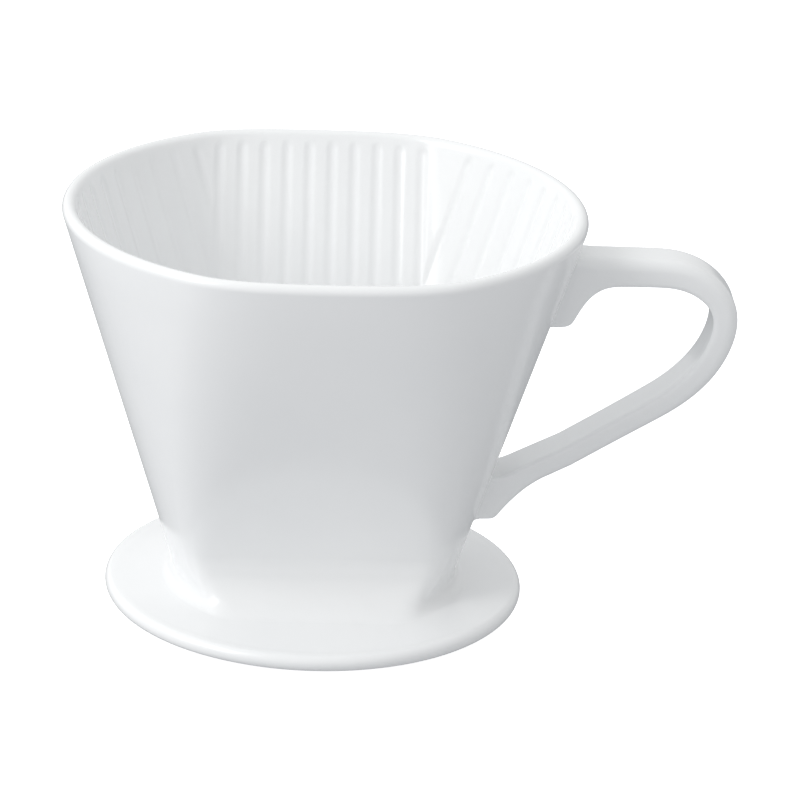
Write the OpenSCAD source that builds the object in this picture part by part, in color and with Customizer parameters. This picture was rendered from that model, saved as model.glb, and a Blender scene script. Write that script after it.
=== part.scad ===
// Wedge-shaped pour over dripper in glazed porcelain: a filter cone with round
// ends and flat front and back, on a round saucer flange with a locating collar,
// and a strap handle. Millimetres, +Z up, +X towards the handle, +Y to the back.
// The origin is the centre of the face that rests on the mug's rim.

/* [Filter cone] */
// Height of the lip above the mug's rim
rim_z = 102.6; // [101:0.2:106]
// Outer radius of the round ends at the top, before the lip is rounded
rim_r = 65.3; // [64.5:0.1:66.5]
// Outer radius of the round ends at the foot
foot_r = 34.7; // [34:0.1:35.5]
// Half depth of the cone at the top, across the flat front and back
flat_top_y = 62.4; // [60:0.2:63]
// Half depth of the cone at the foot, across the flats
flat_foot_y = 17.3; // [16.5:0.1:18]
// Wall thickness, measured level
wall_t = 3.7; // [3.4:0.1:4.2]
// Thickness of the floor
floor_t = 4; // [3.5:0.1:5]

/* [Grooves] */
// Radius of a groove's round bottom
groove_r = 0.95; // [0.85:0.05:1.1]
// Depth of a groove below the inner wall
groove_d = 0.6; // [0.4:0.05:0.75]
// Distance between grooves on the flats
groove_pitch = 5.8; // [5.4:0.1:5.9]
// Number of grooves on each flat
flat_grooves = 10; // [4:2:10]
// Angle between grooves on the round ends, at the lip
end_groove_step = 6.85; // [6.5:0.05:6.9]
// Number of grooves on each round end
end_grooves = 16; // [8:2:16]
// Gap between the lip and the tops of the grooves
groove_gap = 2.6; // [2.4:0.1:6]
// Length of the one short groove beside the back flat
short_groove = 10; // [6:1:14]

/* [Drip holes] */
// Diameter of a drip hole
drip_d = 4.2; // [3:0.1:5]
// Number of drip holes in a line along the floor
drip_count = 3; // [1:1:3]
// Distance between drip holes
drip_pitch = 14; // [10:1:15]

/* [Saucer and collar] */
// Radius of the saucer
saucer_r = 52.7; // [51:0.1:56]
// Thickness of the saucer
saucer_t = 4.2; // [3.8:0.1:5]
// Outer radius of the collar that locates in the mug
collar_r = 33; // [31.5:0.5:36]
// Wall of the collar
collar_t = 3.5; // [3:0.1:4]
// Depth of the collar below the saucer
collar_h = 5; // [4:0.5:8]
// Depth of the seat in the saucer that the collar's top is set into
seat_d = 0.4; // [0.3:0.1:0.8]
// Radius of the fillet between the cone's round ends and the saucer
end_fillet_r = 3; // [2:0.5:6]
// Radius of the fillet between the flat front and back and the saucer
flat_fillet_r = 9; // [6:0.5:9.5]

/* [Handle] */
// Width of the strap
strap_w = 13.4; // [12:0.2:15]
// Thickness of the strap
strap_t = 6.5; // [5.6:0.1:7]
// Corner radius of the strap's section
strap_c = 2.4; // [1.5:0.1:2.6]
// Height of the middle of the strap's level top run
strap_z = 88.4; // [87.4:0.2:89.4]
// Height of the upper foot's toe
upper_toe_z = 74.2; // [73.4:0.2:75]
// Height of the lower foot's toe
lower_toe_z = 21.8; // [21:0.2:23]
// Thickness of the slip layer under each foot
slip_t = 0.8; // [0.6:0.1:1.2]

/* [Hidden] */
$fn = 96;

glaze = [0.95, 0.955, 0.96];
bisque = [0.90, 0.88, 0.84];
cut_extra = 1;  // how far a cutter runs past the face it opens

// Cone
crest_flat = 0.2;  // level width left between the lip's two rounds
lip_r = (wall_t - crest_flat) / 2;
lip_z = rim_z - lip_r;  // centre of the lip's rounds
end_taper = (rim_r - foot_r) / (rim_z - saucer_t);
flat_taper = (flat_top_y - flat_foot_y) / (rim_z - saucer_t);
floor_z = saucer_t + floor_t;

function end_r(z) = foot_r + end_taper * (z - saucer_t);
function flat_y(z) = flat_foot_y + flat_taper * (z - saucer_t);

function arc(centre, radius, start, end, steps) = [
  for (i = [0:steps])
    let (angle = start + (end - start) * i / steps)
    centre + radius * [cos(angle), sin(angle)]];

// Half section of the outside, from the axis out, with the lip's outer half round.
// foot_size is the half size at the foot.
function outer_half(foot_size, taper) = let (
    tilt = atan(taper),
    lip_x = foot_size + taper * (lip_z - saucer_t) - lip_r / cos(tilt))
  concat([[0, saucer_t], [foot_size, saucer_t]],
         arc([lip_x, lip_z], lip_r, -tilt, 90, 7),
         [[0, rim_z]]);

// Half section of the inside, open at the top, with the lip's inner half flared out
function inner_half(foot_size, taper) = let (
    tilt = atan(taper),
    foot_x = foot_size - wall_t,
    lip_x = foot_x + taper * (lip_z - saucer_t) + lip_r / cos(tilt),
    open_z = rim_z + 3)
  concat([[0, floor_z], [foot_x + taper * floor_t, floor_z]],
         arc([lip_x, lip_z], lip_r, 180 - tilt, 90, 7),
         [[lip_x, open_z], [0, open_z]]);

// The round half section turned about Z, crossed with the flat half section and
// its mirror image run along X
module wedge(round_half, flat_half) {
  length = 3 * rim_r;
  side = [for (p = flat_half) if (p[0] > 0.001) p];
  intersection() {
    rotate_extrude() polygon(round_half);
    rotate([90, 0, 90]) translate([0, 0, -length / 2]) linear_extrude(length)
      polygon(concat(side, [for (i = [len(side) - 1:-1:0]) [-side[i][0], side[i][1]]]));
  }
}

module cone_outside() {
  wedge(outer_half(foot_r, end_taper), outer_half(flat_foot_y, flat_taper));
}

module cone_inside() {
  wedge(inner_half(foot_r, end_taper), inner_half(flat_foot_y, flat_taper));
}

// Grooves
groove_inset = wall_t + groove_r - groove_d;  // from the outside to a groove's centre
groove_low_z = floor_z + 2;
groove_high_z = rim_z - groove_gap - 1.2;  // leaves height for the tapered tip
tip_h = 1.3;
tip_r = 0.35;
tip_overlap = 0.05;
knee_extra = 0.08;     // how much the ball at a groove's bend exceeds its radius
min_upper_part = 8;    // a groove on the round shorter than this isn't bent
flat_clearance = 2.5;  // height by which an end groove stops short of a flat

function groove_end_r(z) = end_r(z) - groove_inset;
function groove_flat_y(z) = flat_y(z) - groove_inset;
groove_top_r = groove_end_r(groove_high_z);

// Cutter for a groove between two points of the wall, with an optional tapered tip
module groove(low, high, tip = true) {
  along = high - low;
  length = norm(along);
  translate(low) rotate([0, acos(along[2] / length), atan2(along[1], along[0])]) {
    cylinder(h = length, r = groove_r, $fn = 24);
    if (tip)
      translate([0, 0, length - tip_overlap])
        cylinder(h = tip_h, r1 = groove_r, r2 = tip_r, $fn = 24);
  }
}

// Centre of an upright groove at x and z, where it lies on the flat and on the round
function on_flat(x, z) = [x, groove_flat_y(z), z];
function on_round(x, z) = [x, sqrt(pow(groove_end_r(z), 2) - x * x), z];

// Height at which an upright line at x leaves the flat for the round end: the upper
// root of x^2 + flat_y^2 = end_r^2
function flat_end_z(x) = let (
    r = groove_end_r(saucer_t),
    y = groove_flat_y(saucer_t),
    a = flat_taper * flat_taper - end_taper * end_taper,
    b = 2 * (r * end_taper - y * flat_taper))
  saucer_t + (b + sqrt(b * b + 4 * a * (r * r - y * y - x * x))) / (2 * a);

// Upright groove on a flat; the outer ones bend on to the round at the top
module flat_groove(x) {
  bend_z = flat_end_z(x);
  low = on_flat(x, groove_low_z);
  if (bend_z > groove_high_z - min_upper_part) groove(low, on_flat(x, groove_high_z));
  else {
    bend = on_flat(x, bend_z);
    groove(low, bend, tip = false);
    translate(bend) sphere(r = groove_r + knee_extra, $fn = 24);
    groove(bend, on_round(x, groove_high_z));
  }
}

// Leaning groove on a round end, -1 or 1 along X. Seen from the front, all of them
// are parallel to the cone's outline.
module end_groove(end, angle, low_z) {
  top_x = groove_top_r * cos(angle);
  low_x = top_x - end_taper * (groove_high_z - low_z);
  low_y = sign(angle) * sqrt(pow(groove_end_r(low_z), 2) - low_x * low_x);
  groove([end * low_x, low_y, low_z],
         [end * top_x, groove_top_r * sin(angle), groove_high_z]);
}

// How far an end groove drops before it nears the flat, from the lower root of
// r^2 - x^2 = flat_y^2, where r and x both shrink at end_taper and flat_y at
// flat_taper. One that never meets the flat gets more than the cone's height.
function groove_drop(angle) = let (
    y = groove_flat_y(groove_high_z),
    a = flat_taper * flat_taper,
    b = 2 * (y * flat_taper - end_taper * groove_top_r * (1 - cos(angle))),
    c = y * y - pow(groove_top_r * sin(angle), 2),
    q = b * b - 4 * a * c)
  q < 0 ? 1000 : (b - sqrt(q)) / (2 * a) - flat_clearance;

module grooves() {
  flat_last = (flat_grooves - 1) / 2;
  end_last = (end_grooves - 1) / 2;
  for (side = [0, 1], i = [-flat_last:flat_last])
    mirror([0, side, 0]) flat_groove(i * groove_pitch);
  for (end = [-1, 1], i = [-end_last:end_last]) {
    angle = i * end_groove_step;
    end_groove(end, angle, max(groove_low_z, groove_high_z - groove_drop(angle)));
  }
  end_groove(-1, (end_last + 1) * end_groove_step, groove_high_z - short_groove);
}

// Filter cone: flat sides, round ends, grooves inside, drip holes in the floor
module cone_body() {
  color(glaze) difference() {
    cone_outside();
    cone_inside();
    grooves();
    for (i = [0:drip_count - 1])
      translate([(i - (drip_count - 1) / 2) * drip_pitch, 0, saucer_t - cut_extra])
        cylinder(h = floor_t + 2 * cut_extra, d = drip_d);
  }
}

// Saucer and collar
collar_inner_r = collar_r - collar_t;
shoulder_r = collar_r + 0.6;  // step out at the collar's top
collar_chamfer = 0.6;
opening_r = collar_inner_r - 1;
opening_half_y = flat_foot_y - 5;

// Round flange with a full-round edge, a seat for the collar and an opening
// under the floor
module saucer_base() {
  edge_r = saucer_t / 2;
  color(glaze) difference() {
    rotate_extrude($fn = 128)
      polygon(concat([[0, 0]],
                     arc([saucer_r - edge_r, edge_r], edge_r, -90, 90, 12),
                     [[0, saucer_t]]));
    translate([0, 0, -cut_extra]) cylinder(h = cut_extra + seat_d, r = shoulder_r, $fn = 128);
    intersection() {
      translate([0, 0, -cut_extra]) cylinder(h = saucer_t + 2 * cut_extra, r = opening_r);
      cube([4 * collar_r, 2 * opening_half_y, 4 * saucer_t], center = true);
    }
  }
}

// Unglazed ring that drops into the mug's mouth. A shoulder at its top, flush with
// the saucer's underside, leaves the mug's rim a plain flat face to sit on.
module locating_collar() {
  color(bisque) rotate_extrude($fn = 128)
    polygon([[collar_inner_r, seat_d], [shoulder_r, seat_d],
             [shoulder_r, 0], [collar_r, 0],
             [collar_r, collar_chamfer - collar_h],
             [collar_r - collar_chamfer, -collar_h],
             [collar_inner_r + collar_chamfer, -collar_h],
             [collar_inner_r, collar_chamfer - collar_h]]);
}

// Half section of the fillet: concave arc from the saucer up to the wall. Above the
// arc the outline keeps just inside the wall, so the two sections can be crossed.
function fillet_half(foot_size, taper, radius) = let (
    reach = radius / tan(atan2(1, taper) / 2),
    trim = 12,      // angle taken off each end of the arc
    inside = 0.3,   // how far the outline keeps inside the wall
    wall_z = radius + radius * sin(atan(taper) - trim),
    top_z = 24)
  [for (p = concat(
      [[-foot_size, 0], [reach - radius * sin(trim), 0]],
      arc([reach, radius], radius, -90 - trim, -180 - atan(taper) + trim, 8),
      [[taper * wall_z - inside, wall_z], [taper * top_z - inside, top_z],
       [-foot_size, top_z]]))
    p + [foot_size, saucer_t]];

// Smoothed slip fillet round the cone's foot, broad under the flats
module base_slip_joint() {
  color(glaze) difference() {
    wedge(fillet_half(foot_r, end_taper, end_fillet_r),
          fillet_half(flat_foot_y, flat_taper, flat_fillet_r));
    cone_outside();
  }
}

// Handle. Runs of the strap from the upper foot to the lower: [0, length] is
// straight and [radius, turn] bends downwards.
STRAP = [[0, 27.5], [17, 50], [10, 50], [26.2, 30], [40, 18], [0, 41]];
STRAP_START = [57, strap_z];
bend_step = 5;  // largest turn between stations

function run_end(p, heading, radius, amount) =
  radius == 0 ? p + amount * [cos(heading), sin(heading)]
    : p + radius * [sin(heading) - sin(heading - amount),
                    cos(heading - amount) - cos(heading)];
function run_heading(heading, radius, amount) = radius == 0 ? heading : heading - amount;

// Stations [point, heading] along the runs
function stations(i = 0, p = STRAP_START, heading = 0) =
  i >= len(STRAP) ? [[p, heading]] : let (
    radius = STRAP[i][0],
    amount = STRAP[i][1],
    steps = radius == 0 ? 1 : ceil(amount / bend_step))
  concat([for (k = [0:steps - 1])
           let (part = amount * k / steps)
           [run_end(p, heading, radius, part), run_heading(heading, radius, part)]],
         stations(i + 1, run_end(p, heading, radius, amount),
                  run_heading(heading, radius, amount)));

// Section of the strap as [across its thickness, across its width]
SECTION = let (
    x = strap_t / 2 - strap_c,
    y = strap_w / 2 - strap_c,
    corners = [[x, y], [-x, y], [-x, -y], [x, -y]])
  [for (i = [0:3]) each arc(corners[i], strap_c, 90 * i, 90 * (i + 1), 4)];

// The strap is one closed skin swept along the stations
module strap() {
  path = stations();
  n = len(SECTION);
  last = len(path) - 1;
  points = [for (s = path, q = SECTION)
    [s[0][0] - sin(s[1]) * q[0], q[1], s[0][1] + cos(s[1]) * q[0]]];
  sides = [for (j = [0:last - 1], i = [0:n - 1], t = [0, 1])
    let (a = j * n + i, b = j * n + (i + 1) % n)
    t == 0 ? [a, b, b + n] : [a, b + n, a + n]];
  caps = [[for (i = [n - 1:-1:0]) i], [for (i = [0:n - 1]) last * n + i]];
  polyhedron(points, concat(sides, caps), convexity = 6);
}

foot_inset = 0.5;  // a foot's sides and top lie this far inside the strap's
foot_root = 8;     // how far a foot starts inside the cone's outline
bead = 0.9;        // how far the slip stands out round a foot
bead_rise = 0.8;   // how far the bead rises past the slip layer

// A foot's side view, extruded to just under the strap's width plus grow all round
module foot(outline, grow = 0) {
  rotate([90, 0, 0])
    linear_extrude(strap_w - 2 * foot_inset + 2 * grow, center = true) polygon(outline);
}

// Concave flare of the upper foot, down to its toe
function upper_foot(grow) = let (
    top_z = strap_z + strap_t / 2 - foot_inset + grow,
    outer_x = 69,
    toe_x = 61.6,
    flare_x = 72.6,
    flare_r = 10)
  concat(
    [[end_r(strap_z) - foot_root, top_z], [outer_x, top_z], [outer_x, strap_z]],
    arc([flare_x, strap_z - strap_t / 2 - flare_r], flare_r - grow, 100, 172, 6),
    [[toe_x + grow, upper_toe_z - grow], [end_r(70) - foot_root, upper_toe_z - grow]]);

// Lower foot as [x, height above its toe, share of growth in x, share in z]
LOWER_FOOT = [
  [end_r(34) - foot_root, 13.4, 0, 1],
  [50, 13.6, 0, 1],
  [56, 11.4, 0, 0],
  [51.8, 7.4, 0, -1],
  [48.2, 4, 0, -1],
  [45.4, 0.6, 1, -1],
  [44.4, 0, 1, -1],
  [end_r(22) - foot_root, 0, 0, -1]];

function lower_foot(grow) =
  [for (p = LOWER_FOOT) [p[0] + p[2] * grow, lower_toe_z + p[1] + p[3] * grow]];

// Full round cone on the line of the round ends, its radius grown
module end_cone(grow) {
  low_z = saucer_t - 2;
  high_z = rim_z + 8;
  translate([0, 0, low_z])
    cylinder(h = high_z - low_z, r1 = end_r(low_z) + grow, r2 = end_r(high_z) + grow, $fn = 128);
}

module handle_solid() {
  difference() {
    union() {
      strap();
      foot(upper_foot(0));
      foot(lower_foot(0));
    }
    end_cone(slip_t);
  }
}

// Strap handle with flared feet
module handle() {
  color(glaze) handle_solid();
}

// Slip under a foot: a thin layer with a bead just proud of the foot's edges
module slip(outline) {
  difference() {
    intersection() {
      foot(outline, bead);
      end_cone(slip_t + bead_rise);
    }
    end_cone(0);
    handle_solid();
  }
}

module upper_handle_slip() {
  color(glaze) slip(upper_foot(bead));
}

module lower_handle_slip() {
  color(glaze) slip(lower_foot(bead));
}

cone_body();
saucer_base();
locating_collar();
base_slip_joint();
handle();
upper_handle_slip();
lower_handle_slip();
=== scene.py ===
"""A white porcelain drip cone on a saucer, with a strap handle and a collar underneath.

The cone stands on +Z, centred on the origin. The saucer's underside is at z = 0 and the
collar hangs below it. The cone is round at +-X and flat at the front (-Y) and back (+Y).
The handle is at +X, in the plane y = 0. Shapes are in mm; new_piece turns them into metres.
"""
import math

import bpy
import numpy as np
from mathutils import Matrix, Vector
from mathutils.geometry import delaunay_2d_cdt


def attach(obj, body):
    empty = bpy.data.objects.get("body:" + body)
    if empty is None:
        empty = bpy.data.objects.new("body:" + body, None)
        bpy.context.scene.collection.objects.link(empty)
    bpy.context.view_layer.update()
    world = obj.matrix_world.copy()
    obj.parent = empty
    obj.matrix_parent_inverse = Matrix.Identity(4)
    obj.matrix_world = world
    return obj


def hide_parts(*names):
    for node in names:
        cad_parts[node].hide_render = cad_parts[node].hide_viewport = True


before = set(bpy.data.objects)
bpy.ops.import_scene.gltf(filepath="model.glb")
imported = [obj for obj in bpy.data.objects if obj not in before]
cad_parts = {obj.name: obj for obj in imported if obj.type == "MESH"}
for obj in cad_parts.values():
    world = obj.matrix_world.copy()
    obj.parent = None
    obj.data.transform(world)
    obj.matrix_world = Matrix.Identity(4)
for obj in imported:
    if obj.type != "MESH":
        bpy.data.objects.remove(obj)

MM = 0.001
scene = bpy.context.scene


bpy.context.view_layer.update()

# ---------------------------------------------------------------- shared sizes, in mm
RIM_Z = 102.6  # crest of the cone's lip
SAUCER_T = 4.2  # saucer thickness, and the height of the cone's foot
END_R_TOP, END_R_FOOT = 65.3, 34.7  # radius of the round ends
FLAT_Y_TOP, FLAT_Y_FOOT = 62.4, 17.3  # distance of the flats from the middle
END_SLOPE = (END_R_TOP - END_R_FOOT) / (RIM_Z - SAUCER_T)
FLAT_SLOPE = (FLAT_Y_TOP - FLAT_Y_FOOT) / (RIM_Z - SAUCER_T)
COLLAR_H = 5.0


def end_radius(z):
    """Outer radius of the cone's round ends at a height."""
    return END_R_FOOT + END_SLOPE * (z - SAUCER_T)


def flat_reach(z):
    """Distance of the cone's outer flats from the middle at a height."""
    return FLAT_Y_FOOT + FLAT_SLOPE * (z - SAUCER_T)


# ---------------------------------------------------------------- mesh helpers
# Corners of a rounded rectangle: side in u, side in v, start angle in degrees
CORNERS = ((1, 1, 0), (-1, 1, 90), (-1, -1, 180), (1, -1, 270))


def add_object(name, data):
    obj = bpy.data.objects.new(name, data)
    scene.collection.objects.link(obj)
    return obj


def new_piece(name, verts, faces, material, node, sharp_deg):
    """A smooth-shaded piece from vertices in mm and faces, standing for a CAD node."""
    mesh = bpy.data.meshes.new(name)
    mesh.from_pydata([tuple(v) for v in np.asarray(verts, float) * MM], [], faces)
    mesh.validate()
    mesh.update()
    obj = add_object(name, mesh)
    mesh.materials.append(material)
    mesh.polygons.foreach_set("use_smooth", [True] * len(mesh.polygons))
    mesh.set_sharp_from_angle(angle=math.radians(sharp_deg))
    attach(obj, "root")
    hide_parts(node)


def grid_faces(rows, cols, close_rows=False, flip=False, start=0):
    """Quads of a grid whose columns close on themselves."""
    faces = []
    for i in range(rows if close_rows else rows - 1):
        this_row = start + i * cols
        next_row = start + ((i + 1) % rows) * cols
        for j in range(cols):
            k = (j + 1) % cols
            quad = (this_row + j, this_row + k, next_row + k, next_row + j)
            faces.append(quad[::-1] if flip else quad)
    return faces


def lathe(rows, count, flip):
    """Vertices and faces of a closed profile of (radius, z) turned about Z.

    A radius may be an array with one value for each of the count directions."""
    angles = np.linspace(0, 2 * math.pi, count, endpoint=False)
    verts = []
    for r, z in rows:
        ring = [r * np.cos(angles), r * np.sin(angles), np.full(count, z)]
        verts += list(np.stack(ring, axis=1))
    return verts, grid_faces(len(rows), count, close_rows=True, flip=flip)


def arc(centre_x, centre_z, r, start, stop, steps):
    """Points of an arc between two angles in radians."""
    angles = [start + (stop - start) * i / steps for i in range(steps + 1)]
    return [(centre_x + r * math.cos(a), centre_z + r * math.sin(a)) for a in angles]


def smooth01(x):
    x = np.clip(x, 0.0, 1.0)
    return x * x * (3 - 2 * x)


# ---------------------------------------------------------------- cone section
# A level section is a circle whose front and back are flattened, with a soft turn
# between. Columns of the mesh run at a steady x on the flats, as the grooves there do,
# and at a steady share of the arc on the round ends.
N_END, N_FLAT = 320, 160  # columns on each end and each flat
COLS = 2 * (N_END + N_FLAT)
FLAT_COLS_X = 28.2  # half width of the evenly spaced columns
FLAT_COLS_SHARE = 0.86  # and their greatest share of the end radius


def section_radius(alpha, end, flat, turn):
    """Polar radius where round and flat outlines meet in a soft minimum, by bisection."""
    sine = np.abs(np.sin(alpha))
    high = np.minimum(end, flat / np.maximum(sine, 1e-6))
    low = np.maximum(high - turn / 2, 0) * 0.98
    for _ in range(34):
        mid = (low + high) / 2
        past_end, past_flat = mid - end, mid * sine - flat
        blend = np.maximum(turn - np.abs(past_end - past_flat), 0) ** 2 / (4 * turn)
        over = np.maximum(past_end, past_flat) + blend > 0
        high = np.where(over, mid, high)
        low = np.where(over, low, mid)
    return (low + high) / 2


def alpha_at_x(x, end, flat, turn):
    """The polar angle, up to a quarter turn, at which the section has this |x|."""
    low = np.zeros(np.broadcast(x, end, flat, turn).shape)
    high = low + math.pi / 2
    for _ in range(30):
        mid = (low + high) / 2
        wide = section_radius(mid, end, flat, turn) * np.cos(mid) > np.abs(x)
        low = np.where(wide, mid, low)
        high = np.where(wide, high, mid)
    return (low + high) / 2


def section(end, flat, turn):
    """Rows of sections: polar radius and angle of each column."""
    end, flat, turn = end[:, None], flat[:, None], turn[:, None]
    edge_x = np.minimum(FLAT_COLS_X, FLAT_COLS_SHARE * end)
    edge_alpha = alpha_at_x(edge_x, end, flat, turn)
    on_end = np.linspace(-1, 1, N_END, endpoint=False)[None, :] * edge_alpha
    x = np.linspace(1, -1, N_FLAT, endpoint=False)[None, :] * edge_x
    quarter = alpha_at_x(np.abs(x), end, flat, turn)
    on_flat = np.where(x >= 0, quarter, math.pi - quarter)
    alpha = np.concatenate([on_end, on_flat, on_end + math.pi, on_flat + math.pi], axis=1)
    return section_radius(alpha, end, flat, turn), alpha


def turn_width(z):
    """Width of the turn from flat to round, which is tight at the foot and soft above."""
    return np.interp(z, [SAUCER_T, 25, 55, RIM_Z], [2.4, 4.6, 6.5, 6.0])


def paired(end, flat, turn):
    """A surface whose (reach, z) profile is `end` on the round ends and `flat` on the flats."""
    end, flat = np.array(end), np.array(flat)
    r, alpha = section(end[:, 0], flat[:, 0], turn)
    gap = r * (1 - np.abs(np.sin(alpha))) - (end[:, 0] - flat[:, 0])[:, None]
    flat_share = smooth01(0.5 - gap / (2 * turn[:, None]))
    z = end[:, 1][:, None] * (1 - flat_share) + flat[:, 1][:, None] * flat_share
    return np.stack([r * np.cos(alpha), r * np.sin(alpha), z], axis=2), alpha


# ---------------------------------------------------------------- cone
WALL = 3.7
FLOOR_Z = 8.2
FLOOR_FILLET = 2.4
HUB_END, HUB_FLAT = 24.5, 8.0  # inner edge of the rows; the floor is filled inside it
N_OUT, N_LIP, N_TIP, N_WALL, N_FILLET = 11, 12, 11, 53, 6
TIPS_Z = 96.5  # the wall rows are close together above this, for the tops of the grooves

GROOVE_DEPTH, GROOVE_HALF_W = 0.36, 1.8
GROOVE_PITCH = 5.8  # mm between grooves on the flats
GROOVE_STEP = 6.85  # degrees between grooves on the ends
GROOVE_TOP = RIM_Z - 4.2  # below this the grooves have their full depth
LAST_GROOVE = 8

HOLES_X = (-14.0, 0.0, 14.0)
HOLE_R = 2.1
HOLE_TOP_ROUND, HOLE_FOOT_ROUND = 0.9, 0.7
HOLE_SEGMENTS = 48


def cone_profile(foot, slope, hub):
    """Profile of the cone from the hub of its underside round to the hub of its floor.

    Also gives the first and last row of the inner wall."""
    tilt = math.atan(slope)
    lip_r = WALL / 2 * math.cos(tilt)
    lip_z = RIM_Z - lip_r
    lip_drop = lip_r * math.sin(tilt)

    def reach(z):
        return foot + slope * (z - SAUCER_T)

    points = [(hub, SAUCER_T), (foot * 0.93, SAUCER_T)]
    points += [(reach(z), z) for z in np.linspace(SAUCER_T, lip_z - lip_drop, N_OUT)[:-1]]
    points += arc(reach(lip_z) - WALL / 2, lip_z, lip_r, -tilt, math.pi - tilt, N_LIP)
    first_wall = len(points) - 1
    fillet_z = FLOOR_Z + FLOOR_FILLET
    wall_foot = fillet_z - FLOOR_FILLET * math.sin(tilt)
    heights = list(np.linspace(lip_z + lip_drop, TIPS_Z, N_TIP))[1:]
    heights += list(np.linspace(TIPS_Z, wall_foot, N_WALL))[1:-1]
    points += [(reach(z) - WALL, z) for z in heights]
    fillet_x = reach(fillet_z) - WALL - FLOOR_FILLET / math.cos(tilt)
    points += arc(fillet_x, fillet_z, FLOOR_FILLET, -tilt, -math.pi / 2, N_FILLET)
    last_wall = len(points) - 1
    points += [(hub, FLOOR_Z)]
    return points, first_wall, last_wall


def groove_depth(points, alpha):
    """How deep the grooves lie at points of the inner wall."""
    x, z = points[..., 0], points[..., 2]
    drop = GROOVE_TOP - z
    run_in = -drop * 0.75  # how far a point is above the full depth, shortened
    depth = np.zeros_like(x)

    def dip(side, along):
        d2 = (side**2 + np.maximum(along, 0) ** 2) / GROOVE_HALF_W**2
        return GROOVE_DEPTH * np.clip(1 - d2, 0, None) ** 2

    for i in range(-5, 5):
        depth = np.maximum(depth, dip(x - (i + 0.5) * GROOVE_PITCH, run_in))

    # On the ends the grooves all lean in by the wall's slope along X
    top_r = end_radius(GROOVE_TOP) - WALL
    top_y = flat_reach(GROOVE_TOP) - WALL
    r = top_r - END_SLOPE * drop
    local = np.where(x >= 0, alpha, math.pi - alpha)
    local = (local + math.pi) % (2 * math.pi) - math.pi
    for i in range(-LAST_GROOVE, LAST_GROOVE + 1):
        angle = math.radians((i + 0.5) * GROOVE_STEP)
        cosine = np.clip((top_r * math.cos(angle) - END_SLOPE * drop) / r, -1, 1)
        line = math.copysign(1, angle) * np.arccos(cosine)
        # each ends 2.5 mm above the height where it would meet the flat
        linear = 2 * (top_y * FLAT_SLOPE - END_SLOPE * top_r * (1 - math.cos(angle)))
        constant = top_y * top_y - (top_r * math.sin(angle)) ** 2
        square = linear * linear - 4 * FLAT_SLOPE**2 * constant
        if i == LAST_GROOVE:
            stop = 10.0
        elif square < 0:
            stop = 1000.0
        else:
            stop = (linear - math.sqrt(square)) / (2 * FLAT_SLOPE**2) - 2.5
        groove = dip((local - line) * r, np.maximum(run_in, (drop - stop) * 0.4))
        if i == LAST_GROOVE:
            # this short one lies only beside the left of the back flat
            groove = np.where(x < 0, groove, 0)
        depth = np.maximum(depth, groove)
    return depth * smooth01((z - FLOOR_Z - 0.15) / 2.6)


def cut_grooves(wall, alpha):
    """The inner wall moved back along its own normal by the depth of the grooves."""
    around = np.roll(wall, -1, axis=1) - np.roll(wall, 1, axis=1)
    normal = np.cross(around, np.gradient(wall, axis=0))
    normal /= np.linalg.norm(normal, axis=2, keepdims=True)
    x, y = wall[..., 0], wall[..., 1]
    inward = -np.stack([x, y, -0.3 * np.hypot(x, y)], axis=2)
    normal *= np.sign((normal * inward).sum(axis=2, keepdims=True))
    return wall - normal * groove_depth(wall, alpha)[..., None]


def holed_faces(verts, outline, rings, hole_r, up):
    """Triangles that fill an outline of vertex numbers, leaving the hole rings open."""
    ids, edges = [], []
    for loop in [outline] + rings:
        first, count = len(ids), len(loop)
        edges += [(first + i, first + (i + 1) % count) for i in range(count)]
        ids += loop
    flat = [Vector((verts[i][0], verts[i][1])) for i in ids]
    points, _, triangles, origins, _, _ = delaunay_2d_cdt(flat, edges, [], 0, 1e-6)
    inside_r = hole_r * math.cos(math.pi / HOLE_SEGMENTS) - 1e-3
    faces = []
    for tri in triangles:
        centre = sum((points[i] for i in tri), Vector((0, 0))) / len(tri)
        if any((centre - Vector((x, 0))).length < inside_r for x in HOLES_X):
            continue
        a, b, c = (Vector(points[i]) for i in tri)
        anticlockwise = (b - a).cross(c - a) > 0
        face = [ids[origins[i][0]] for i in tri]
        faces.append(tuple(face if anticlockwise == up else face[::-1]))
    return faces


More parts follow.
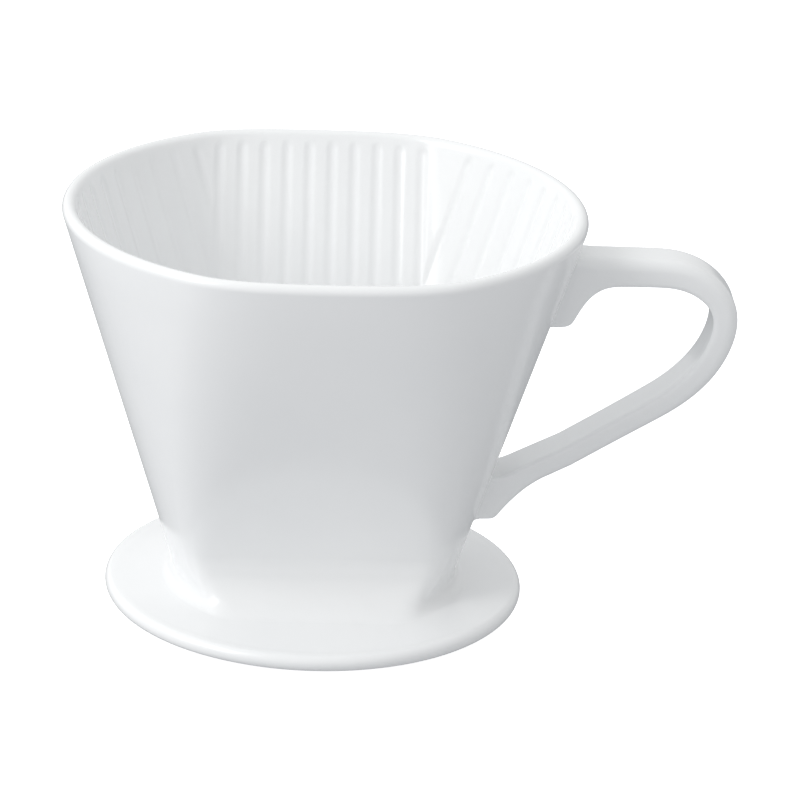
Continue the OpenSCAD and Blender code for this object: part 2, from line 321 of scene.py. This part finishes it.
def build_cone(material):
    end, first_wall, last_wall = cone_profile(END_R_FOOT, END_SLOPE, HUB_END)
    flat, _, _ = cone_profile(FLAT_Y_FOOT, FLAT_SLOPE, HUB_FLAT)
    # the turn is tighter inside, and eases over the lip
    turn = turn_width(np.array(end)[:, 1])
    over_lip = np.clip((np.arange(len(end)) - (first_wall - N_LIP)) / N_LIP, 0, 1)
    on_lip = np.where(over_lip > 0, 6.0 - 1.2 * over_lip, turn)
    turn = np.where(over_lip == 1, np.maximum(turn - 1.2, 1.3), on_lip)
    points, alpha = paired(end, flat, turn)
    wall = slice(first_wall, last_wall + 1)
    points[wall] = cut_grooves(points[wall], alpha[wall])
    verts = list(points.reshape(-1, 3))
    faces = grid_faces(len(end), COLS)

    # rounded drip holes through the floor
    n = HOLE_SEGMENTS
    circle = [(math.cos(2 * math.pi * i / n), math.sin(2 * math.pi * i / n)) for i in range(n)]
    top, foot = HOLE_TOP_ROUND, HOLE_FOOT_ROUND
    tube = arc(HOLE_R + top, FLOOR_Z - top, top, math.pi / 2, math.pi, 6)
    tube += arc(HOLE_R + foot, SAUCER_T + foot, foot, math.pi, 1.5 * math.pi, 5)
    starts = []
    for hole_x in HOLES_X:
        starts.append(len(verts))
        for r, z in tube:
            verts += [(hole_x + r * c, r * s, z) for c, s in circle]
        faces += grid_faces(len(tube), n, flip=True, start=starts[-1])

    # floor, then underside
    for row, level, up in ((len(end) - 1, 0, True), (0, len(tube) - 1, False)):
        outline = [row * COLS + j for j in range(COLS)]
        rings = [[start + level * n + j for j in range(n)] for start in starts]
        faces += holed_faces(verts, outline, rings, tube[level][0], up)
    new_piece("cone_shell", verts, faces, material, "cone_body", sharp_deg=50)


# ---------------------------------------------------------------- foot fillet
FILLET_H = 14.5
FILLET_R_END, FILLET_R_FLAT = 3.0, 9.5
FILLET_ROWS = 32


def fillet_reach(z, foot, slope, r):
    """Half size of the fillet's outside at each height; a hair inside the wall above it."""
    tilt = math.atan(slope)
    centre_x, centre_z = foot + slope * r + r / math.cos(tilt), SAUCER_T + r
    wall = foot + slope * (z - SAUCER_T)
    arc_x = centre_x - np.sqrt(np.clip(r**2 - (z - centre_z) ** 2, 0, None))
    on_arc = z < centre_z + r * math.sin(tilt)
    return np.where(on_arc, np.maximum(arc_x, wall) + 0.02, wall - 0.02)


def turn_share(end, flat):
    """Width of a soft turn for each mm of the corner's radius."""
    return 4 * (1 - np.cos((math.pi / 2 - np.arcsin(np.clip(flat / end, 0, 1))) / 2))


def build_fillet(material):
    z = SAUCER_T + FILLET_H * np.linspace(0, 1, FILLET_ROWS)[::-1] ** 2
    wall_end, wall_flat = end_radius(z), flat_reach(z)
    end = fillet_reach(z, END_R_FOOT, END_SLOPE, FILLET_R_END)
    flat = fillet_reach(z, FLAT_Y_FOOT, FLAT_SLOPE, FILLET_R_FLAT)
    # the corner's radius grows as the fillet runs out over the saucer
    out = (np.maximum(end - wall_end, 0) + np.maximum(flat - wall_flat, 0)) / 2
    corner = turn_width(z) / turn_share(wall_end, wall_flat) + out
    turn = turn_share(end, flat) * corner
    # the hidden back of the ring is sunk into the wall and the saucer
    sink = 0.8
    z = np.concatenate([[z[0]], z, [SAUCER_T - sink] * 2])
    end = np.concatenate([[end[0] - 0.9], end, [end[-1] + 0.05, END_R_FOOT - sink]])
    flat = np.concatenate([[flat[0] - 0.9], flat, [flat[-1] + 0.05, FLAT_Y_FOOT - sink]])
    turn = np.concatenate([[turn[0]], turn, [turn[-1], 2.4]])
    points, _ = paired(np.stack([end, z], axis=1), np.stack([flat, z], axis=1), turn)
    points = points[:, ::2]
    faces = grid_faces(len(end), points.shape[1], close_rows=True, flip=True)
    verts = points.reshape(-1, 3)
    new_piece("foot_fillet", verts, faces, material, "base_slip_joint", sharp_deg=50)


# ---------------------------------------------------------------- saucer, collar
SAUCER_R = 52.7
SAUCER_SEGMENTS = 320
OPENING_X, OPENING_Y, OPENING_POWER = 28.5, 12.3, 14  # hidden opening under the cone
# Edge of the opening, from below: widening, z
OPENING_EDGE = [(0.7, 0.4), (0.2, 0.55), (0.0, 1.0), (0.0, SAUCER_T - 0.3), (0.3, SAUCER_T)]
# Underside from the rim in to a shallow recess: radius, z
SAUCER_UNDERSIDE = [
    (46, 0), (40, 0), (34.6, 0), (34.0, 0.0), (33.8, 0.06), (33.7, 0.4), (31.0, 0.4),
]

COLLAR_R, COLLAR_T = 33.0, 3.5
COLLAR_EDGE_R = 0.9
COLLAR_ROOT_R = 0.55  # fillet where the collar meets the saucer
COLLAR_SEGMENTS = 256


def build_saucer(material):
    angles = np.linspace(0, 2 * math.pi, SAUCER_SEGMENTS, endpoint=False)
    power = OPENING_POWER
    across = (np.abs(np.sin(angles)) / OPENING_Y) ** power
    opening = (OPENING_X**-power + across) ** (-1 / power)
    rows = [(opening + widening, z) for widening, z in OPENING_EDGE]
    # the top falls away a little towards the edge, which is fully rounded
    for r in (36.0, 40.0, 43.0, 46.0, 48.0, 49.4):
        rows.append((r, SAUCER_T - 0.16 * max(0, (r - 40) / 10) ** 2))
    edge_r = SAUCER_T / 2
    rows += arc(SAUCER_R - edge_r, edge_r, edge_r, math.radians(78), math.radians(-90), 16)
    rows += SAUCER_UNDERSIDE
    verts, faces = lathe(rows, SAUCER_SEGMENTS, flip=False)
    new_piece("saucer_flange", verts, faces, material, "saucer_base", sharp_deg=40)


def build_collar(material):
    inner, outer, edge, root = COLLAR_R - COLLAR_T, COLLAR_R, COLLAR_EDGE_R, COLLAR_ROOT_R
    quarter = math.pi / 2
    rows = [(inner, 0.4), (outer + 0.6, 0.4), (outer + 0.6, 0.0)]
    rows += arc(outer + root, -root, root, quarter, 2 * quarter, 5)
    rows += [(outer, -2.0), (outer, -3.2)]
    rows += arc(outer - edge, -COLLAR_H + edge, edge, 0, -quarter, 6)
    rows += arc(inner + edge, -COLLAR_H + edge, edge, -quarter, -2 * quarter, 6)
    rows += [(inner, -3.2), (inner, -1.6), (inner, -0.6)]
    verts, faces = lathe(rows, COLLAR_SEGMENTS, flip=True)
    new_piece("mug_collar", verts, faces, material, "locating_collar", sharp_deg=40)


# ---------------------------------------------------------------- handle
STRAP_START = (57.0, 88.4)  # x, z where the centre line starts
STRAP_W = 13.4
STRAP_CORNER = 2.5
# Runs of the centre line: (0, length in mm) or (bend radius, degrees turned down)
STRAP_RUNS = [(0, 27.5), (17, 50), (10, 50), (26.2, 30), (40, 18), (0, 41)]
STRAP_STEP = 0.25
SOFTEN_MM, SOFTEN_STEPS = 2.6, 40  # spread and reach of the smoothing of the headings
STRAP_FIRST_X, STRAP_LAST_X = 75.5, 61.0  # where the plain strap meets its feet

# Rows of the feet: inner x, inner z, outer x, outer z, width, corner radius
FOOT_TOP = STRAP_START[1] + 3.57
# The underside of the upper foot flares down along the wall to a flat toe
UPPER_FOOT = [
    [54.9, 74.1, 60.0, FOOT_TOP - 0.3, 14.0, 1.2],
    [56.8, 74.1, 60.8, FOOT_TOP - 0.2, 14.2, 1.3],
    [59.4, 74.2, 61.6, FOOT_TOP - 0.1, 14.3, 1.5],
    [61.0, 74.6, 62.4, FOOT_TOP, 14.2, 1.8],
    [62.0, 75.6, 63.2, FOOT_TOP, 14.0, 2.0],
    [63.1, 77.6, 64.3, FOOT_TOP, 13.8, 2.2],
    [64.5, 79.9, 65.9, FOOT_TOP, 13.6, 2.4],
    [66.3, 82.1, 67.9, FOOT_TOP, 13.5, 2.5],
    [68.9, 83.9, 70.2, FOOT_TOP, 13.4, 2.5],
    [72.0, 84.7, 73.0, FOOT_TOP, 13.4, 2.5],
]
# The outside of the lower foot turns down to its toe and the inside runs into the wall
LOWER_FOOT = [
    [56.5, 39.1, 58.8, 34.2, 13.4, 2.4],
    [53.6, 37.6, 55.8, 32.6, 13.5, 2.3],
    [50.9, 36.2, 52.3, 30.1, 13.6, 2.2],
    [48.7, 35.0, 48.9, 26.9, 13.8, 2.0],
    [47.0, 34.2, 46.7, 24.4, 14.0, 1.9],
    [45.9, 33.8, 45.5, 22.9, 14.1, 1.7],
    [45.0, 33.6, 44.3, 22.2, 14.2, 1.5],
    [43.8, 33.5, 42.4, 22.1, 14.2, 1.3],
    [42.3, 33.5, 38.8, 22.1, 14.1, 1.2],
]


def strap_line():
    """Centre line of the strap in side view: points, headings and share of its length."""
    headings, heading = [], 0.0
    for bend_r, amount in STRAP_RUNS:
        sweep = math.radians(amount) if bend_r else 0.0
        length = bend_r * sweep if bend_r else amount
        count = int(round(length / STRAP_STEP))
        headings += [heading - sweep * (i + 0.5) / count for i in range(count)]
        heading -= sweep
    pad = SOFTEN_STEPS
    kernel = np.exp(-0.5 * (np.arange(-pad, pad + 1) * STRAP_STEP / SOFTEN_MM) ** 2)
    kernel /= kernel.sum()
    padded = np.concatenate([np.full(pad, headings[0]), headings, np.full(pad, headings[-1])])
    headings = np.convolve(padded, kernel, mode="valid")
    steps = np.stack([np.cos(headings), np.sin(headings)], axis=1) * STRAP_STEP
    points = np.array(STRAP_START) + np.cumsum(steps, axis=0)
    return points, headings, np.arange(len(headings)) / (len(headings) - 1)


def strap_ring(inner, outer, width, corner):
    """Ring of a rounded rectangle between two points of the side view.

    The edges on the inside of the handle are crisper than those on the outside."""
    inner, outer = np.array(inner), np.array(outer)
    centre = (inner + outer) / 2
    half_t = np.linalg.norm(outer - inner) / 2
    across = (outer - inner) / (2 * half_t)
    half_w = width / 2
    limit = min(half_t * 0.98, half_w * 0.98)
    outer_r, inner_r = min(corner * 1.15, limit), min(corner * 0.55, limit)
    corners = []
    for side_t, side_w, start in CORNERS:
        r = outer_r if side_t > 0 else inner_r
        centre_t, centre_w = side_t * (half_t - r), side_w * (half_w - r)
        begin = math.radians(start)
        corners.append(arc(centre_t, centre_w, r, begin, begin + math.pi / 2, 8))
    ring = []
    for i, points in enumerate(corners):
        (t0, w0), (t1, w1) = points[-1], corners[(i + 1) % 4][0]
        ring += points
        # points on the straight part that follows this corner
        ring += [(t0 + (t1 - t0) * f, w0 + (w1 - w0) * f) for f in (0.25, 0.5, 0.75)]
    return [(centre[0] + across[0] * t, w, centre[1] + across[1] * t) for t, w in ring]


def spline(rows, count):
    """Smooth curve through control rows, at even steps of its length."""
    p = np.array(rows, float)
    p = np.vstack([2 * p[0] - p[1], p, 2 * p[-1] - p[-2]])
    curve = []
    for i in range(1, len(p) - 2):
        a, b, c, d = p[i - 1 : i + 3]
        linear, square, cube = c - a, 2 * a - 5 * b + 4 * c - d, 3 * b - a - 3 * c + d
        for t in np.linspace(0, 1, 24, endpoint=False):
            curve.append(0.5 * (2 * b + linear * t + square * t * t + cube * t**3))
    curve.append(p[-2])
    curve = np.array(curve)
    lengths = np.linalg.norm(np.diff(curve[:, :4], axis=0), axis=1)
    along = np.concatenate([[0], np.cumsum(lengths)])
    even = np.linspace(0, along[-1], count)
    return np.stack([np.interp(even, along, column) for column in curve.T], axis=1)


def build_handle(material):
    points, headings, shares = strap_line()

    def plain(i):
        """Row of the plain strap, which thins and hollows a little along its length."""
        share = shares[i]
        normal = np.array([-math.sin(headings[i]), math.cos(headings[i])])
        thinned = 0.5 * smooth01((share - 0.1) / 0.35) + 0.9 * smooth01((share - 0.5) / 0.3)
        half_t = (7.15 - thinned) / 2
        hollow = 0.45 * smooth01((share - 0.25) / 0.15)
        inner, outer = points[i] - normal * (half_t - hollow), points[i] + normal * half_t
        return [*inner, *outer, STRAP_W, STRAP_CORNER]

    first = int(np.searchsorted(points[:, 0], STRAP_FIRST_X))
    last = len(points) - 1
    while points[last][0] < STRAP_LAST_X:
        last -= 1
    stations = list(range(first, last, 5))
    rows = list(spline(UPPER_FOOT + [plain(first)], 40))
    rows += [plain(i) for i in stations[1:]]
    rows += list(spline([plain(stations[-1])] + LOWER_FOOT, 44))[1:]
    verts = []
    for inner_x, inner_z, outer_x, outer_z, width, corner in rows:
        verts += strap_ring((inner_x, inner_z), (outer_x, outer_z), width, corner)
    n = len(verts) // len(rows)
    faces = grid_faces(len(rows), n, flip=True)
    faces.append(tuple(range(n)))
    faces.append(tuple(range(len(verts) - n, len(verts)))[::-1])
    new_piece("strap_handle", verts, faces, material, "handle", sharp_deg=55)


# ---------------------------------------------------------------- slip beads
BEAD_W = 14.3
BEAD_CORNER = 1.6
BEAD_R = 1.1  # radius of its hollow face
BEAD_CORNER_POINTS = 24


def build_bead(name, low_z, high_z, node, material):
    """A fine slip bead round a foot of the handle, where it meets the wall."""
    centre_z, half_z, half_y = (low_z + high_z) / 2, (high_z - low_z) / 2, BEAD_W / 2
    tilt = math.atan(END_SLOPE)
    verts = []
    for side_y, side_z, start in CORNERS:
        for i in range(BEAD_CORNER_POINTS):
            a = math.radians(start + 90 * i / (BEAD_CORNER_POINTS - 1))
            out_y, out_z = math.cos(a), math.sin(a)
            y = side_y * (half_y - BEAD_CORNER) + BEAD_CORNER * out_y
            z = centre_z + side_z * (half_z - BEAD_CORNER) + BEAD_CORNER * out_z
            r = end_radius(z)
            x = math.sqrt(r * r - y * y)
            # off the wall, and along the wall away from the foot
            off = np.array([x / r * math.cos(tilt), y / r * math.cos(tilt), -math.sin(tilt)])
            away = np.array(
                [out_z * math.sin(tilt) - out_y * y / r, out_y * x / r, out_z * math.cos(tilt)]
            )
            away -= off * off.dot(away)
            away /= np.linalg.norm(away)
            on_wall = np.array([x, y, z])
            for turn in np.linspace(0, 90, 6):
                # the ends of the hollow sink slightly into the wall and the foot
                rise = BEAD_R * (1 - math.cos(math.radians(turn))) - 0.02 * (turn == 0)
                spread = BEAD_R * (1 - math.sin(math.radians(turn))) - 0.02 * (turn == 90)
                verts.append(on_wall + off * rise + away * spread)
            verts.append(on_wall + off * BEAD_R * 0.9 - away * 0.4)
            verts.append(on_wall - off * 0.4 - away * 0.4)
            verts.append(on_wall + away * BEAD_R - off * 0.3)
    n = 9  # points of each cross-section
    faces = []
    for a in range(0, len(verts), n):
        b = (a + n) % len(verts)
        for j in range(n):
            k = (j + 1) % n
            faces.append((a + j, b + j, b + k, a + k))
    new_piece(name, verts, faces, material, node, sharp_deg=45)


# ---------------------------------------------------------------- shader helpers
def node_adder(owner):
    """Empty the owner's node tree and return a function that adds nodes to it.

    Each input is given a value, or an output socket to link from."""
    owner.use_nodes = True
    tree = owner.node_tree
    tree.nodes.clear()

    def add(kind, inputs=None, **settings):
        node = tree.nodes.new("ShaderNode" + kind)
        for setting, value in settings.items():
            setattr(node, setting, value)
        for socket, value in (inputs or {}).items():
            if isinstance(value, bpy.types.NodeSocket):
                tree.links.new(value, node.inputs[socket])
            else:
                node.inputs[socket].default_value = value
        return node

    return add


def noise(add, coord, scale, detail, roughness):
    values = {"Vector": coord, "Scale": scale, "Detail": detail, "Roughness": roughness}
    return add("TexNoise", values).outputs["Fac"]


def remap(add, value, source, target):
    """Map the source range of a value onto the target range."""
    ranges = {"From Min": source[0], "From Max": source[1], "To Min": target[0], "To Max": target[1]}
    return add("MapRange", {"Value": value, **ranges}).outputs["Result"]


def mix_colour(add, factor, a, b):
    # sockets 6 and 7 are the colours A and B; output 2 is the colour result
    return add("Mix", {"Factor": factor, 6: a, 7: b}, data_type="RGBA").outputs[2]


def bump(add, height, strength, distance, **under):
    values = {"Height": height, "Strength": strength, "Distance": distance, **under}
    return add("Bump", values).outputs["Normal"]


def mix_shader(add, factor, off, on):
    return add("MixShader", {0: factor, 1: off, 2: on}).outputs[0]


# ---------------------------------------------------------------- materials
def glaze_material():
    """Clear glossy glaze over white porcelain: faint waviness and orange peel."""
    material = bpy.data.materials.new("porcelain_glaze")
    add = node_adder(material)
    coord = add("TexCoord").outputs["Object"]
    broad = noise(add, coord, scale=22, detail=2.0, roughness=0.5)
    middle = noise(add, coord, scale=140, detail=3.0, roughness=0.55)
    fine = noise(add, coord, scale=950, detail=2.0, roughness=0.5)
    dots = noise(add, coord, scale=2600, detail=1.0, roughness=0.5)
    # a cool white that varies slightly, with faint warm specks
    body = mix_colour(
        add,
        remap(add, broad, source=(0.35, 0.65), target=(0, 1)),
        a=(0.912, 0.920, 0.926, 1),
        b=(0.930, 0.936, 0.940, 1),
    )
    specks = remap(add, dots, source=(0.74, 0.80), target=(0, 0.10))
    colour = mix_colour(add, specks, a=body, b=(0.70, 0.69, 0.67, 1))
    gloss = remap(add, middle, source=(0.3, 0.7), target=(0.17, 0.21))
    drift = remap(add, broad, source=(0.3, 0.7), target=(-0.01, 0.02))
    roughness = add("Math", {0: gloss, 1: drift}, operation="ADD").outputs[0]
    normal = bump(add, broad, strength=0.5, distance=0.00022)
    normal = bump(add, middle, strength=0.35, distance=0.00002, Normal=normal)
    normal = bump(add, fine, strength=0.25, distance=0.000004, Normal=normal)
    surface = add("BsdfPrincipled", {
        "Base Color": colour,
        "Roughness": roughness,
        "IOR": 1.5,
        "Coat Weight": 0.15,
        "Coat Roughness": 0.12,
        "Normal": normal,
        "Coat Normal": normal,
    })
    add("OutputMaterial", {"Surface": surface.outputs["BSDF"]})
    return material


def bisque_material():
    """Unglazed fired clay on the foot ring, with a wavering glaze line above it."""
    material = bpy.data.materials.new("foot_ring_bisque")
    add = node_adder(material)
    coord = add("TexCoord").outputs["Object"]
    grain = noise(add, coord, scale=1900, detail=4.0, roughness=0.65)
    cloud = noise(add, coord, scale=90, detail=3.0, roughness=0.5)
    clay = mix_colour(
        add,
        remap(add, cloud, source=(0.3, 0.7), target=(0, 1)),
        a=(0.70, 0.675, 0.63, 1),
        b=(0.78, 0.76, 0.725, 1),
    )
    dark_grains = remap(add, grain, source=(0.62, 0.75), target=(0, 0.45))
    clay = mix_colour(add, dark_grains, a=clay, b=(0.52, 0.48, 0.43, 1))
    # the glaze stops a little below the saucer; the cloud moves its line, in metres
    height = add("SeparateXYZ", {0: coord}).outputs["Z"]
    wavering = add("Math", {0: cloud, 1: 0.0012, 2: height}, operation="MULTIPLY_ADD")
    glazed = remap(add, wavering.outputs[0], source=(-0.00235, -0.00205), target=(0, 1))
    clay_roughness = remap(add, grain, source=(0.3, 0.7), target=(0.62, 0.82))
    # sockets 2 and 3 are the roughness of the clay and of the glaze
    roughness = add("Mix", {0: glazed, 2: clay_roughness, 3: 0.12}, data_type="FLOAT")
    surface = add("BsdfPrincipled", {
        "Base Color": mix_colour(add, glazed, a=clay, b=(0.86, 0.866, 0.87, 1)),
        "Roughness": roughness.outputs[0],
        "Normal": bump(add, grain, strength=0.6, distance=0.00008),
    })
    add("OutputMaterial", {"Surface": surface.outputs["BSDF"]})
    return material


def floor_material():
    """Paper that looks near white to the camera and dimmer in the glaze."""
    material = bpy.data.materials.new("floor_paper")
    add = node_adder(material)
    paper = add("BsdfDiffuse", {"Color": (0.64, 0.645, 0.66, 1)}).outputs[0]
    glow = add("Emission", {"Color": (1, 1, 1, 1), "Strength": 0.92}).outputs[0]
    seen = add("AddShader", {0: paper, 1: glow}).outputs[0]
    mirrored = add("Emission", {"Color": (0.80, 0.83, 0.86, 1), "Strength": 0.42}).outputs[0]
    ray = add("LightPath").outputs
    surface = mix_shader(add, ray["Is Camera Ray"], off=paper, on=seen)
    surface = mix_shader(add, ray["Is Glossy Ray"], off=surface, on=mirrored)
    # clear from below, so the underside can be looked at
    backfacing = add("NewGeometry").outputs["Backfacing"]
    clear = add("BsdfTransparent").outputs[0]
    surface = mix_shader(add, backfacing, off=surface, on=clear)
    add("OutputMaterial", {"Surface": surface})
    return material


# ---------------------------------------------------------------- stage, in metres
def build_floor():
    half = 6.0
    z = -(COLLAR_H + 0.1) * MM
    corners = [(-half, -half, z), (half, -half, z), (half, half, z), (-half, half, z)]
    mesh = bpy.data.meshes.new("studio_floor")
    mesh.from_pydata(corners, [], [(0, 1, 2, 3)])
    obj = add_object("studio_floor", mesh)
    mesh.materials.append(floor_material())


def build_world():
    """An even surround, brighter towards the upper back left."""
    world = bpy.data.worlds.new("studio")
    scene.world = world
    add = node_adder(world)
    direction = add("TexCoord").outputs["Generated"]
    gradient = add("VectorMath", {0: direction, 1: (-0.12, 0.09, 0.11)}, operation="DOT_PRODUCT")
    strength = add("Math", {0: gradient.outputs["Value"], 1: 0.725}, operation="ADD")
    background = add(
        "Background", {"Color": (0.985, 0.995, 1.0, 1), "Strength": strength.outputs[0]}
    )
    add("OutputWorld", {"Surface": background.outputs[0]})


def build_key_light():
    """A square light from the upper front left."""
    place, target = Vector((-0.84, -0.45, 0.72)), Vector((0, 0, 0.05))
    light = bpy.data.lights.new("key", "AREA")
    light.shape = "RECTANGLE"
    light.size = light.size_y = 0.7
    light.energy = 5.3
    light.color = (1.0, 0.998, 0.99)
    obj = add_object("key", light)
    obj.location = place
    obj.rotation_euler = (target - place).to_track_quat("-Z", "Y").to_euler()


# ---------------------------------------------------------------- camera
# The camera looks down on the front, almost square to the handle's plane.
CAMERA_ELEVATION, CAMERA_TURN, CAMERA_ROLL = (math.radians(v) for v in (21.258, -3.0, 2.458))
CAMERA_AIM = (0, 0, 55.0)
CAMERA_DISTANCE = 1042.6966
CAMERA_RIGHT, CAMERA_DOWN = 20.058677, 3.892884  # shift across the line of sight
CAMERA_LENS, SENSOR_W = 187.92, 36.0


def build_camera():
    sine, cosine = math.sin(CAMERA_ELEVATION), math.cos(CAMERA_ELEVATION)
    forward = np.array([0, cosine, -sine])
    level_right = np.array([1.0, 0, 0])
    level_up = np.cross(level_right, forward)
    sine, cosine = math.sin(CAMERA_ROLL), math.cos(CAMERA_ROLL)
    right = cosine * level_right + sine * level_up
    up = cosine * level_up - sine * level_right
    eye = np.array(CAMERA_AIM) - forward * CAMERA_DISTANCE
    eye += right * CAMERA_RIGHT - up * CAMERA_DOWN
    sine, cosine = math.sin(CAMERA_TURN), math.cos(CAMERA_TURN)
    spin = np.array([[cosine, -sine, 0], [sine, cosine, 0], [0, 0, 1]])
    # columns of the camera's matrix: its X, Y and Z axes and its place
    columns = [spin @ v for v in (right, up, -forward, eye * MM)]
    matrix = Matrix.Identity(4)
    for i in range(3):
        matrix[i] = [float(column[i]) for column in columns]

    data = bpy.data.cameras.new("camera")
    data.sensor_width = SENSOR_W
    data.lens = CAMERA_LENS
    data.clip_start, data.clip_end = 0.05, 20
    camera = add_object("camera", data)
    camera.matrix_world = matrix
    scene.camera = camera


# ---------------------------------------------------------------- build
glaze = glaze_material()
bisque = bisque_material()

build_cone(glaze)
build_fillet(glaze)
build_saucer(glaze)
build_collar(bisque)
build_handle(glaze)
build_bead("upper_slip_bead", 74.3, 91.7, "upper_handle_slip", glaze)
build_bead("lower_slip_bead", 22.2, 33.6, "lower_handle_slip", glaze)

build_floor()
build_world()
build_key_light()
scene.view_settings.view_transform = "Standard"
build_camera()
